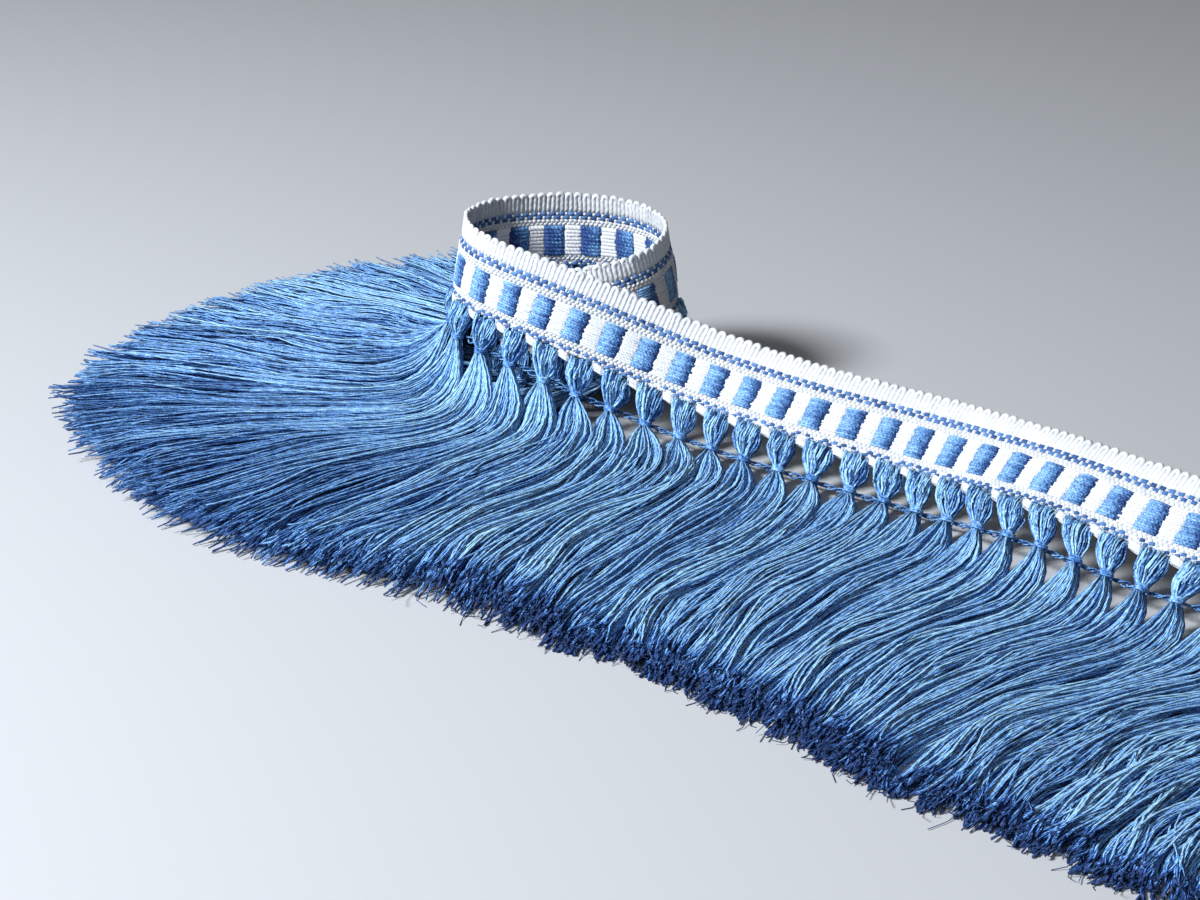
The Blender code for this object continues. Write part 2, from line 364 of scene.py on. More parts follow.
# The cut is aslant: the top threads end this much sooner, as a share of the length
CUT_SLANT = 0.075
FAN_SLANT = 0.02
SWAY = (
    # height, cycles in a skirt's length, stations a cycle, phase
    (1.6, 1.15, 67.0, 0.6),
    (0.9, 2.3, -37.0, 2.1),
    (0.5, 3.6, 17.0, 0.0),
)
# Short fibres that curl out of the cut ends
FIBRES = 48
FIBRE_RADIUS = 0.13
# The skirts are joined in four pieces, from each of these tassels to before the next
GROUPS = (0, 14, 24, 34, 45)

# The studio. The floor and the lamps are in metres, and the camera's place is in millimetres like the
# tables. The camera was fitted to the photograph.
FLOOR_HALF = 6.0
FLOOR_GREY = (0.50, 0.50, 0.51, 1)
LIT_POINT = (-0.03, 0.03, 0.0)
LAMPS = (
    # name, place, side of its square, watts, colour
    ("key", (-0.95, -0.45, 0.90), 0.30, 34.5, (0.88, 0.94, 1.0)),
    ("fill", (-0.40, -1.10, 1.00), 1.00, 3.0, (1.0, 1.0, 1.0)),
)
SKY_COLOUR = (0.9, 0.93, 1.0, 1)
SKY_STRENGTH = 0.10
CAMERA_LENS = 80.2
CAMERA_PLACE = (0.0, -762.9, 311.3)
CAMERA_AHEAD = (0.0, 0.9259, -0.3778)
CAMERA_RIGHT = (0.99976, 0.00834, 0.02044)


def unit(vector):
    return vector / np.linalg.norm(vector, axis=-1, keepdims=True)


def column(table, places, number):
    """A column of a table, read between its rows."""
    rows = np.array(table, float)
    return np.interp(places, rows[:, 0], rows[:, number])


def ramp(value, start, over):
    """Smoothly from 0 at start to 1 where the value has grown by over."""
    share = np.clip((value - start) / over, 0, 1)
    return share * share * (3 - 2 * share)


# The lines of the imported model


def course_at(stations):
    """The heading, descent and lean, in radians, as a smooth curve through the rows of COURSE."""
    rows = np.radians(np.array(COURSE, float))
    place = (np.asarray(stations, float) - FIRST_STATION) / STATION_STEP
    row = np.clip(place.astype(int), 1, len(rows) - 3)
    f = (place - row)[:, None]
    before = (1 - f) ** 3 * rows[row - 1]
    here = (3 * f**3 - 6 * f**2 + 4) * rows[row]
    after = (-3 * f**3 + 3 * f**2 + 3 * f + 1) * rows[row + 1]
    return ((before + here + after + f**3 * rows[row + 2]) / 6).T


def directions(stations):
    """The unit vectors along the braid and up across it."""
    heading, descent, lean = (angle[:, None] for angle in course_at(stations))
    level = np.hstack([np.cos(heading), -np.sin(heading), 0 * heading])
    back = np.hstack([np.sin(heading), np.cos(heading), 0 * heading])
    along = np.cos(descent) * level - np.sin(descent) * UP
    upright = np.sin(descent) * level + np.cos(descent) * UP
    return along, np.cos(lean) * upright + np.sin(lean) * back


FINE = np.arange(FIRST_STATION, OUTER_END + 8.0, 1.0)
ALONG, ACROSS = directions(FINE)
RUN = np.concatenate([[np.zeros(3)], np.cumsum((ALONG[1:] + ALONG[:-1]) / 2, 0)])
TOP_EDGE = np.array(TOP_START) + RUN - RUN[int(-FIRST_STATION)]


def sample(table, stations):
    """A table of points or directions, one for each of FINE, read between its rows."""
    return np.stack([np.interp(stations, FINE, table[:, k]) for k in range(3)], -1)


def braid_frame(stations):
    """The top edge, and the unit vectors along, up across and out of the braid's outer face."""
    along = unit(sample(ALONG, stations))
    across = sample(ACROSS, stations)
    face = unit(np.cross(along, across))
    return sample(TOP_EDGE, stations), along, np.cross(face, along), face


def head_frame(stations):
    """Where tassels leave the braid, and the unit vectors along the braid, down the head, and out."""
    top, along, across, _ = braid_frame(stations)
    down = unit(-across - HEAD_DROOP * np.array(UP))
    down = unit(down - along * (down * along).sum(-1, keepdims=True))
    start = top - across * (TAPE_HEIGHT + SEAM_GAP)
    return start, along, down, np.cross(down, along)


def head_axes(centre):
    """The same for one tassel."""
    return [v[0] for v in head_frame(np.array([centre]))]


def half_thickness(share):
    return column(TAPE_PROFILE, share, 1)


def tassel_stations():
    return INNER_END + PITCH * (np.arange(REPEATS) + 0.5)


# Mesh building: a part holds points, faces with their places on the thread, and shades


def tubes(paths, radius, sides, up, shade, flat=1.0, slot=0):
    """Closed tubes along paths of shape (threads, points, 3). radius may vary by thread and point.

    Each twist starts at another place, up to 10 mm on, so that neighbours don't line up.
    """
    count, steps, _ = paths.shape
    radius = np.broadcast_to(np.asarray(radius, float), (count, steps))
    forward = unit(np.gradient(paths, axis=1))
    side = unit(np.cross(forward, np.broadcast_to(up, paths.shape)))
    top = np.cross(side, forward)
    turn = (np.arange(sides) + 0.25) * 2 * np.pi / sides
    ring = side[:, :, None] * np.cos(turn)[:, None] + flat * top[:, :, None] * np.sin(turn)[:, None]
    verts = paths[:, :, None] + radius[:, :, None, None] * ring
    index = np.arange(count * steps * sides).reshape(count, steps, sides)
    after = np.roll(index, -1, axis=2)
    walls = np.stack([index[:, :-1], index[:, 1:], after[:, 1:], after[:, :-1]], -1).reshape(-1, 4)
    caps = np.concatenate([index[:, 0], index[:, -1, ::-1]])
    gone = np.cumsum(np.linalg.norm(np.diff(paths, axis=1), axis=2), 1)
    twist_start = 10 * (np.arange(count) * GOLDEN_RATIO % 1.0)[:, None]
    length = np.concatenate([np.zeros((count, 1)), gone], 1) + twist_start
    place = np.stack(np.broadcast_arrays(length[..., None], np.arange(sides + 1) / sides), -1)
    corners = (place[:, :-1, :-1], place[:, 1:, :-1], place[:, 1:, 1:], place[:, :-1, 1:])
    wall_uv = np.stack(corners, -2).reshape(-1, 4, 2)
    shade = np.asarray(shade, float)
    shade = np.broadcast_to(shade[:, None] if shade.ndim == 1 else shade, (count, steps))
    return {
        "verts": verts.reshape(-1, 3),
        "faces": [(walls, wall_uv), (caps, np.zeros((len(caps), sides, 2)))],
        "shade": np.repeat(shade.reshape(-1), sides),
        "slot": slot,
    }


def make_piece(name, parts, materials):
    """One mesh object from the parts, with its thread coordinates and shades."""
    verts = np.concatenate([p["verts"] for p in parts])
    loops, totals, uvs, slots = [], [], [], []
    offset = 0
    for p in parts:
        for faces, uv in p["faces"]:
            loops.append((faces + offset).reshape(-1))
            totals.append(np.full(len(faces), faces.shape[1]))
            uvs.append(uv.reshape(-1, 2))
            slots.append(np.full(len(faces), p["slot"]))
        offset += len(p["verts"])
    loops, totals = np.concatenate(loops), np.concatenate(totals)
    mesh = bpy.data.meshes.new(name)
    mesh.vertices.add(len(verts))
    mesh.vertices.foreach_set("co", ((verts - BOX_CENTRE) * MM).astype(np.float32).reshape(-1))
    mesh.loops.add(len(loops))
    mesh.loops.foreach_set("vertex_index", loops.astype(np.int32))
    mesh.polygons.add(len(totals))
    mesh.polygons.foreach_set("loop_start", (np.cumsum(totals) - totals).astype(np.int32))
    mesh.polygons.foreach_set("material_index", np.concatenate(slots).astype(np.int32))
    mesh.update(calc_edges=True)
    layer = mesh.uv_layers.new(name="thread")
    layer.uv.foreach_set("vector", np.concatenate(uvs).astype(np.float32).reshape(-1))
    shade = mesh.attributes.new("shade", "FLOAT", "POINT")
    shade.data.foreach_set("value", np.concatenate([p["shade"] for p in parts]).astype(np.float32))
    mesh.shade_smooth()
    for material in materials:
        mesh.materials.append(material)
    piece = bpy.data.objects.new(name, mesh)
    bpy.context.scene.collection.objects.link(piece)
    return piece


# Materials


def math_node(tree, operation, *values):
    """The output of a maths node whose inputs are sockets or numbers."""
    node = tree.nodes.new("ShaderNodeMath")
    node.operation = operation
    for socket, value in zip(node.inputs, values):
        if isinstance(value, (int, float)):
            socket.default_value = value
        else:
            tree.links.new(value, socket)
    return node.outputs[0]


def noise(tree, scale, detail):
    """Noise about zero, with its scale in cycles a metre."""
    place = tree.nodes.new("ShaderNodeTexCoord")
    texture = tree.nodes.new("ShaderNodeTexNoise")
    texture.inputs["Scale"].default_value = scale
    texture.inputs["Detail"].default_value = detail
    tree.links.new(place.outputs["Object"], texture.inputs["Vector"])
    return math_node(tree, "SUBTRACT", texture.outputs["Fac"], 0.5)


def plies_and_twist(tree, plies, twist):
    """The ridges of the plies round a thread, from -1 to 1."""
    thread = tree.nodes.new("ShaderNodeUVMap")
    thread.uv_map = "thread"
    split = tree.nodes.new("ShaderNodeSeparateXYZ")
    tree.links.new(thread.outputs["UV"], split.inputs[0])
    lay = math_node(tree, "MULTIPLY", split.outputs["X"], 2 * np.pi / twist)
    turn = math_node(tree, "MULTIPLY_ADD", split.outputs["Y"], 2 * np.pi * plies, lay)
    return math_node(tree, "SINE", turn)


def yarn(
    name, deep, dark, light, plies=2.0, twist=2.2, painted_ply_shading=0.10, fuzz=0.2, mottle=0.25, bump=0.35,
    roughness=0.75, sheen=0.3,
):
    """Twisted cotton.

    deep, dark and light are its colours at the lowest shade, in shade and on lit tops; the deep colour is
    the painted shade of the grooves and cut ends. twist is the lay of its plies in mm. How far the colour
    follows the plies is painted shade in the grooves between them and a painted highlight on their ridges;
    fuzz and mottle say how much the fibres and the dye vary.
    """
    material = bpy.data.materials.new(name)
    material.use_nodes = True
    tree = material.node_tree
    shader = tree.nodes["Principled BSDF"]
    shader.inputs["Roughness"].default_value = roughness
    shader.inputs["Specular IOR Level"].default_value = 0.3
    shader.inputs["Sheen Weight"].default_value = sheen
    shader.inputs["Sheen Roughness"].default_value = 0.45
    shader.inputs["Sheen Tint"].default_value = (*light, 1)

    ridge = plies_and_twist(tree, plies, twist)
    fibre = noise(tree, scale=1500, detail=2)
    raised = tree.nodes.new("ShaderNodeBump")
    raised.inputs["Strength"].default_value = bump
    raised.inputs["Distance"].default_value = 0.15 * MM
    tree.links.new(math_node(tree, "MULTIPLY_ADD", ridge, 0.5, fibre), raised.inputs["Height"])
    tree.links.new(raised.outputs["Normal"], shader.inputs["Normal"])

    shade = tree.nodes.new("ShaderNodeAttribute")
    shade.attribute_name = "shade"
    # Painted shade in the grooves between the plies and a painted highlight on their ridges
    tone = math_node(tree, "MULTIPLY_ADD", ridge, painted_ply_shading, shade.outputs["Fac"])
    tone = math_node(tree, "MULTIPLY_ADD", fibre, fuzz, tone)
    tone = math_node(tree, "MULTIPLY_ADD", noise(tree, scale=260, detail=3), mottle, tone)
    colour = tree.nodes.new("ShaderNodeValToRGB")
    stops = colour.color_ramp.elements
    stops[0].color = (*deep, 1)
    stops[0].position = 0.0
    stops[1].color = (*light, 1)
    stops[1].position = 1.0
    stops.new(0.35).color = (*dark, 1)
    tree.links.new(tone, colour.inputs["Fac"])
    tree.links.new(colour.outputs["Color"], shader.inputs["Base Color"])
    return material


WHITE = yarn(
    "white_cotton",
    deep=(0.46, 0.47, 0.49), dark=(0.64, 0.65, 0.67), light=(0.77, 0.77, 0.77),
    fuzz=0.4,
)
SATIN_WHITE = yarn(
    "white_floats",
    deep=(0.46, 0.47, 0.50), dark=(0.65, 0.66, 0.69), light=(0.79, 0.79, 0.79),
    twist=1.2, fuzz=0.8, bump=0.6,
)
SATIN_BLUE = yarn(
    "blue_floats",
    deep=(0.015, 0.050, 0.19), dark=(0.08, 0.21, 0.46), light=(0.38, 0.64, 0.93),
    twist=1.2, fuzz=1.6, bump=0.9, roughness=0.6, sheen=0.15,
)
HEAD_BLUE = yarn(
    "blue_heads",
    deep=(0.008, 0.032, 0.14), dark=(0.07, 0.22, 0.56), light=(0.48, 0.80, 1.0),
    plies=1.0, twist=3.4, painted_ply_shading=0.12, fuzz=1.5, bump=0.9, roughness=0.6, sheen=0.15,
)
CHECK_BLUE = yarn(
    "blue_checks",
    deep=(0.01, 0.03, 0.10), dark=(0.04, 0.11, 0.30), light=(0.14, 0.30, 0.62),
    twist=1.0, sheen=0.0,
)
SKIRT_BLUE = yarn(
    "blue_skirts",
    deep=(0.007, 0.030, 0.13), dark=(0.088, 0.29, 0.78), light=(0.50, 0.82, 1.0),
    plies=3.0, twist=4.5, painted_ply_shading=0.32, fuzz=1.3, mottle=0.30, bump=0.9, roughness=0.55, sheen=0.12,
)
# Dark yarn for the cores: painted shade inside the heads and under the skirts' threads
CORE_BLUE_PAINTED_SHADE = yarn(
    "blue_cores_painted_shade",
    deep=(0.004, 0.016, 0.07), dark=(0.025, 0.08, 0.26), light=(0.06, 0.17, 0.46),
    plies=14.0, twist=60.0, painted_ply_shading=0.3, fuzz=0.8, bump=0.9, sheen=0.0,
)


# The braid


def make_cloth():
    """The woven ground of the braid, a thin band under its stitches."""
    stations = np.linspace(INNER_END, OUTER_END, int((OUTER_END - INNER_END) / CLOTH_STEP) + 1)
    top, _, across, face = braid_frame(stations)
    shares = np.array(CLOTH_SHARES)
    front = top[:, None] - across[:, None] * (shares * TAPE_HEIGHT)[:, None]
    lift = face[:, None] * half_thickness(shares)[:, None]
    rings = np.concatenate([front + lift, (front - lift)[:, ::-1]], axis=1)
    steps, around = rings.shape[:2]
    index = np.arange(steps * around).reshape(steps, around)
    after = np.roll(index, -1, axis=1)
    walls = np.stack([index[:-1], after[:-1], after[1:], index[1:]], -1).reshape(-1, 4)
    caps = np.stack([index[0, ::-1], index[-1]])
    u = np.repeat(stations[:-1], around)
    v = np.tile(np.arange(around), steps - 1) * WEAVE_STEP
    corners = ((u, v), (u, v + WEAVE_STEP), (u + CLOTH_STEP, v + WEAVE_STEP), (u + CLOTH_STEP, v))
    part = {
        "verts": rings.reshape(-1, 3),
        "faces": [
            (walls, np.stack([np.stack(corner, -1) for corner in corners], 1)),
            (caps, np.zeros((2, around, 2))),
        ],
        "shade": np.full(steps * around, 0.3),
        "slot": 0,
    }
    return make_piece("braid_cloth", [part], [WHITE])


def make_picots(rng):
    """The scalloped upper edge: loops of white cord that stand side by side."""
    loops = np.arange(INNER_END + PICOT_PITCH / 2, OUTER_END - 1.0, PICOT_PITCH)
    turn = np.linspace(0, np.pi, 9)
    leg_places = np.full(len(LEG_HEIGHTS), LEG)
    x = np.concatenate([-leg_places, -LEG * np.cos(turn), leg_places])
    z = np.concatenate([LEG_HEIGHTS, 0.05 + LEG * np.sin(turn), LEG_HEIGHTS[::-1]])
    free = z > -1
    count = len(loops)
    sway = rng.normal(0, 0.05, (count, 1)) + np.where(free, rng.normal(0, 0.10, (count, 1)), 0)
    tall = rng.normal(0, 0.14, (count, 1)) * free
    lean = rng.normal(0, 0.10, (count, 1)) * np.clip((z + 2) / 3, 0, 1)
    top, _, across, face = braid_frame(loops[:, None] + x + sway)
    points = top + across * (z + tall)[..., None] + face * lean[..., None]
    shade = rng.uniform(0.25, 0.7, count)
    part = tubes(points, PICOT_RADIUS, 5, face[:, :1], shade, flat=0.85)
    return make_piece("braid_picots", [part], [WHITE])


def stitch_row(rng, side, stations, share, stitch, slot=0, square=False):
    """A row of small domed stitches on one face, or square ones, each a little off in place and size."""
    length, width, height, slant = stitch
    count = len(stations)
    stations = stations + rng.normal(0, 0.05, count)
    shares = share + rng.normal(0, 0.0012, count)
    half = rng.normal(1, 0.05, count)[:, None] / 2
    shade = rng.uniform(0.2, 0.8, count)
    angle = np.radians(slant + rng.normal(0, 4, count))[:, None]

    sunk = 0.15
    top, along, across, face = braid_frame(stations)
    middle = top - across * (shares * TAPE_HEIGHT)[:, None]
    middle = middle + face * (side * (half_thickness(shares) - sunk))[:, None]
    long_way = (along * np.cos(angle) + across * np.sin(angle)) * half * length
    wide_way = (across * np.cos(angle) - along * np.sin(angle)) * half * width
    corners = 4 if square else 6
    turn = (np.arange(corners) + 0.5 * square) * 2 * np.pi / corners
    circle = np.stack([np.cos(turn), np.sin(turn)], -1)
    ring = long_way[:, None] * circle[:, :1] + wide_way[:, None] * circle[:, 1:]
    rise = face[:, None] * side * height
    # The size and height of the dome's foot, shoulder and crown, as shares of the stitch's own
    sections = ((1.40, 0.0), (1.30, 0.80)) if square else ((1.0, 0.0), (0.82, 0.62))
    verts = [middle[:, None] + ring * wide + rise * high for wide, high in sections]
    verts = np.concatenate([*verts, middle[:, None] + rise], axis=1)

    points = 2 * corners + 1
    index = np.arange(count * points).reshape(count, points)
    foot, shoulder, crown = index[:, :corners], index[:, corners:-1], index[:, -1:]
    next_foot, next_shoulder = np.roll(foot, -1, 1), np.roll(shoulder, -1, 1)
    walls = np.stack([foot, next_foot, next_shoulder, shoulder], -1).reshape(-1, 4)
    roof = np.stack([shoulder, next_shoulder, np.repeat(crown, corners, 1)], -1).reshape(-1, 3)
    uvs = (np.tile(circle[: faces.shape[1]], (len(faces), 1, 1)) for faces in (walls, roof))
    return {
        "verts": verts.reshape(-1, 3),
        "faces": list(zip((walls[:, ::side], roof[:, ::side]), uvs)),
        "shade": np.repeat(shade, points),
        "slot": slot,
    }


def make_stitches(rng):
    """On both faces: two bands of blue checks, the lower with some missing, each beside a white ridge."""
    parts = []
    grid = np.arange(INNER_END + STITCH_PITCH / 2, OUTER_END, STITCH_PITCH)
    number = np.arange(len(grid))
    for side in (1, -1):
        for line, share in enumerate(UPPER_CHECKS):
            blue = (number + line) % 2 == 0
            parts.append(stitch_row(rng, side, grid[blue], share, UPPER_BLUE, slot=1, square=True))
            parts.append(stitch_row(rng, side, grid[~blue], share, UPPER_WHITE))
        for share, shift, stitch in RIDGES:
            parts.append(stitch_row(rng, side, grid + shift, share, stitch))
        for line, share in enumerate(LOWER_CHECKS):
            blue = (number + line) % 2 == 0
            there = rng.random(blue.sum()) > MISSING_CHECKS
            parts.append(stitch_row(rng, side, grid[blue][there], share, LOWER_BLUE, slot=1, square=True))
            parts.append(stitch_row(rng, side, grid[~blue], share, LOWER_WHITE))
    return make_piece("braid_stitches", parts, [WHITE, CHECK_BLUE])


def dome(reach):
    """The height of a domed thread, from nearly 0 at its ends, -1 and 1, to 1 in the middle."""
    return np.sqrt(1 - 0.97 * reach**2)


def float_threads(rng, face_row, block_row):
    """The floats of all blocks of one colour on one face of the braid."""
    side, rows, radius, sides, flat = face_row
    slot, offset, length, height, painted_end_shade = block_row
    centres = INNER_END + offset + PITCH * np.arange(REPEATS)
    centres = centres[centres > INNER_END + 1]
    line = np.tile((np.arange(rows) + 0.5) / rows, len(centres))
    count = len(line)
    reach = np.linspace(-1, 1, FLOAT_POINTS)
    half = length / 2 + rng.uniform(-0.15, 0.45, count)
    stations = np.repeat(centres, rows)[:, None] + rng.normal(0, 0.15, (count, 1)) + half[:, None] * reach
    stations = np.clip(stations, INNER_END + 0.1, OUTER_END - 0.1)
    top, _, across, face = braid_frame(stations)
    pillow = 0.55 + 0.45 * np.sin(np.pi * line) ** 0.5
    shares = FLOATS_FROM + line * (FLOATS_TO - FLOATS_FROM)
    shares = shares[:, None] + rng.normal(0, 0.0020, (count, FLOAT_POINTS))
    lift = half_thickness(shares) - 0.30 + height * dome(reach) * pillow[:, None]
    lift = lift + rng.normal(0, 0.07 * flat, (count, FLOAT_POINTS)) + 0.35 * (1 - flat)
    points = top - across * (shares * TAPE_HEIGHT)[..., None] + face * (side * lift)[..., None]
    # Painted shade: each block is darker towards its end further along the braid, away from the lamp at the
    # left
    shade = rng.uniform(0.46, 0.76, (count, 1)) - painted_end_shade * ramp(reach, -0.4, 1.4)
    # Painted shade on the back face's blue floats
    shade = shade - BLUE_BACK_PAINTED_SHADE * slot * (side < 0)
    return tubes(points, radius, sides, face[:, :1] * side, shade, flat=flat, slot=slot)


def make_floats(rng):
    """The block pattern: threads that float along the braid over a blue or a white block."""
    parts = [float_threads(rng, face_row, block_row) for face_row in FLOAT_FACES for block_row in BLOCKS]
    return make_piece("braid_floats", parts, [SATIN_WHITE, SATIN_BLUE])


def make_tabs(rng):
    """The white tabs along the lower edge, between the tassels."""
    parts = []
    centres = tassel_stations()[1:] - PITCH / 2
    count = len(centres)
    reach = np.linspace(-1, 1, TAB_POINTS)
    for side in (1, -1):
        for line in range(TAB_THREADS):
            half = TAB_HALF_LENGTH - 0.16 * abs(line - 2) + rng.normal(0, 0.14, count)
            stations = centres[:, None] + half[:, None] * reach + (line - 2) * 0.12
            top, _, across, face = braid_frame(stations)
            lift = TAB_HEIGHT * dome(reach) - 0.12 * abs(line - 1.5)
            shares = TABS_FROM + TAB_STEP * line + TAB_SLOPE * reach + rng.normal(0, 0.001, (count, 1))
            points = top - across * (shares * TAPE_HEIGHT)[..., None] + face * (side * lift)[..., None]
            shade = rng.uniform(0.2, 0.9, count)
            parts.append(tubes(points, TAB_RADIUS, 5, face[:, :1] * side, shade))
    return make_piece("braid_tabs", parts, [SATIN_WHITE])


# The tassels


def bent(points, steps):
    """Smooth curves through control points of shape (threads, controls, 3)."""
    controls = points.shape[1]
    places = np.linspace(0, controls - 1, steps)
    before = 2 * points[:, :1] - points[:, 1:2]
    beyond = 2 * points[:, -1:] - points[:, -2:-1]
    padded = np.concatenate([before, points, beyond], 1)
    row = np.minimum(places.astype(int), controls - 2)
    f = (places - row)[None, :, None]
    p0, p1, p2, p3 = (padded[:, row + k] for k in range(4))
    square = 2 * p0 - 5 * p1 + 4 * p2 - p3
    cube = 3 * p1 - p0 - 3 * p2 + p3
    return 0.5 * (2 * p1 + (p2 - p0) * f + square * f**2 + cube * f**3)


def head_point(centre, aside, below, outward):
    """Points of a head, so many mm along the braid, down the head and outward."""
    start, along, down, out = head_axes(centre)
    aside, below, outward = (v[..., None] for v in np.broadcast_arrays(aside, below, outward))
    aside = aside + column(KNOT_SHIFTS, centre, 1) * np.clip(below / KNOT_AT, 0, 1)
    return start + along * aside + down * below + out * outward


def make_lobe(rng, centre, stretch, sections, threads, tilt, uneven, tone):
    """One lobe of a head: a bundle of threads round a core in dark yarn, painted shade inside the bundle.
    """
    _, along, _, out = head_axes(centre)
    lean = rng.normal(0, 0.25)
    wide = rng.normal(1, 0.06)
    angle = np.arange(threads) * 2 * np.pi / threads + rng.normal(0, 0.12, threads)
    ring = rng.choice([1.0, 0.93, 0.8], threads)
    to_side, to_front = np.cos(angle) * ring, np.sin(angle) * ring

    middle, half_width, below, outward, half_depth = np.array(sections).T[..., None]
    middle[2:4, 0] += lean, lean * 0.5
    half_width[1:3] *= wide
    below[2] *= stretch
    below = below + np.zeros(threads)
    below[0] += tilt * to_front
    if uneven:
        below[0] += rng.normal(0, uneven, threads)
    controls = head_point(centre, middle + half_width * to_side, below, outward + half_depth * to_front)

    path = bent(controls.swapaxes(0, 1), HEAD_POINTS)
    place = np.linspace(0, 1, HEAD_POINTS)
    wave = rng.normal(0, 0.20, (threads, 2)) @ np.sin(np.pi * place * [[1], [3]])
    path = path + along * wave[..., None]
    # The right lobe's lower tone is painted shade on its side away from the lamps
    shade = rng.uniform(tone - 0.30, tone + 0.30, threads)
    bundle = tubes(path, rng.uniform(0.32, 0.44, (threads, 1)), 3, out, shade)
    girth = np.interp(place, [0, 0.15, 0.45, 0.75, 1], [0.6, 1.1, 1.6, 1.0, 0.7])
    core = tubes(path.mean(0, keepdims=True), girth, 6, out, 0.3, slot=1)
    return [bundle, core]


def make_root_threads(rng, centre):
    """Loose threads that lie over a head's root."""
    at = partial(head_point, centre)
    _, _, _, out = head_axes(centre)
    count = ROOT_THREADS
    x = rng.uniform(-3.9, 4.1, count)
    controls = [
        at(x + rng.normal(0, 0.4, count), rng.uniform(-2.8, -1.4, count), 1.0),
        at(x, -0.4, rng.uniform(1.4, 1.9, count)),
        at(x * 0.90, 1.6, rng.uniform(1.9, 2.6, count)),
        at(x * 0.75 + rng.normal(0, 0.4, count), rng.uniform(3.0, 5.0, count), 2.9),
    ]
    shade = rng.uniform(0.45, 0.95, count)
    return tubes(np.stack(controls, 1), rng.uniform(0.16, 0.24, (count, 1)), 3, out, shade)


def make_wrap(rng, centre):
    """The thread that is wound round the knot."""
    _, _, down, _ = head_axes(centre)
    turn = np.linspace(0, 2 * np.pi * WRAP_TURNS, WRAP_POINTS)
    tilt = rng.normal(0, 0.15)
    below = KNOT_AT - 0.9 + turn * 0.10 + tilt * np.cos(turn + 1)
    path = head_point(centre, WRAP_CIRCLE * np.cos(turn), below, WRAP_CIRCLE * np.sin(turn))
    return tubes(path[None], WRAP_RADIUS, 4, down, rng.uniform(0.3, 0.6))


def make_heads(rng):
    """The heads: two lobes gathered at the knot, loose threads over the root, and the knot's wrap."""
    parts = []
    for centre in tassel_stations():
        stretch = rng.normal(1, 0.05)
        for lobe in LOBES:
            parts += make_lobe(rng, centre, stretch, *lobe)
        parts.append(make_root_threads(rng, centre))
        parts.append(make_wrap(rng, centre))
    return make_piece("tassel_heads", parts, [HEAD_BLUE, CORE_BLUE_PAINTED_SHADE])


def tip_table(centre):
    if centre < INNER_UNTIL:
        return INNER_TIPS
    if centre < RIGHT_UNTIL:
        return RIGHT_TIPS
    return OUTER_TIPS


def root_and_corner(stations, centre):
    """Where the lines of a skirt start and turn, in plan, and how far in front each lies, from 0 to 1."""
    start, along, down, _ = head_frame(stations.reshape(-1))
    start, along, down = (v.reshape(*stations.shape, 3) for v in (start, along, down))
    shifted = start + along * column(KNOT_SHIFTS, stations, 1)[..., None]
    neck = shifted + down * NECK_AT
    root = (shifted + down * (KNOT_AT + SKIRT_FROM))[..., :2]
    if centre < INNER_UNTIL:
        return root, start[..., :2] + INNER_TURN, np.zeros(stations.shape)
    if centre < RIGHT_UNTIL:
        return root, start[..., :2] + RIGHT_TURN, np.zeros(stations.shape)
    front = ramp(stations, *IN_FRONT)
    f = front[..., None]
    front_heading = np.stack([column(FRONT_HEADINGS, stations, number) for number in (1, 2)], -1)
    heading = unit(unit(down[..., :2]) * (1 - f) + front_heading * f)
    corner = neck[..., :2] + heading * column(RUNS, stations, 1)[..., None]
    return root, corner, front


def skirt_plan(centre, stations, shares):
    """Points in plan: down from the knot, round the corner and on to the tip."""
    root, corner, front = root_and_corner(stations, centre)
    table = tip_table(centre)
    tip = np.stack([column(table, stations, 1), column(table, stations, 2)], -1)
    leg = tip - corner
    reach = np.linalg.norm(leg, axis=-1)
    run = np.linalg.norm(corner - root, axis=-1)
    turn = run / (run + reach)
    soft = np.minimum(CORNER_SOFTNESS, turn)
    turned = np.clip((shares - turn + soft) / (2 * soft), 0.0, 1.0)
    beyond = soft * turned**2 + np.maximum(shares - turn - soft, 0.0)
    outward = beyond / (1 - turn)
    bulge = column(BULGES, stations, 1) * front
    aside = bulge * np.sin(np.pi * np.clip(outward, 0, 1)) / reach
    normal = np.stack([leg[..., 1], -leg[..., 0]], -1)
    to_corner = (corner - root) * ((shares - beyond) / turn)[..., None]
    return root + to_corner + leg * outward[..., None] + normal * aside[..., None]


def resting_height(centre, shares):
    """How high the skirt's underside rests on the layer under it."""
    if centre < RIGHT_UNTIL:
        return np.zeros_like(shares)
    lift = CROSSING_LIFT * (1 - ramp(centre, *LIFT_FADES))
    return lift * (1 - ramp(shares, LIFT_ENDS_AT, 1 - LIFT_ENDS_AT))


def spread(shares):
    """How far the skirt has opened, from its knot's width to the full repeat."""
    return KNOT_SPREAD + (1 - KNOT_SPREAD) * (1 - (1 - np.clip(shares / SPREAD_BY, 0, 1)) ** 2)


def fan_out(centre):
    """How many times wider a skirt is at its tips than along the braid, and no less than 1."""
    table = tip_table(centre)
    ends = centre + np.array([-0.5, 0.5]) * PITCH
    width = np.hypot(*(np.diff(column(table, ends, number))[0] for number in (1, 2)))
    return max(width / PITCH, 1.0)


def sway(stations, shares):
    """The sideways sway of the combed threads, in mm, which runs on from tassel to tassel."""
    swing = sum(
        height * np.sin(2 * np.pi * (cycles * shares + stations / length) + phase)
        for height, cycles, length, phase in SWAY
    )
    return swing * ramp(shares, *SWAYING)


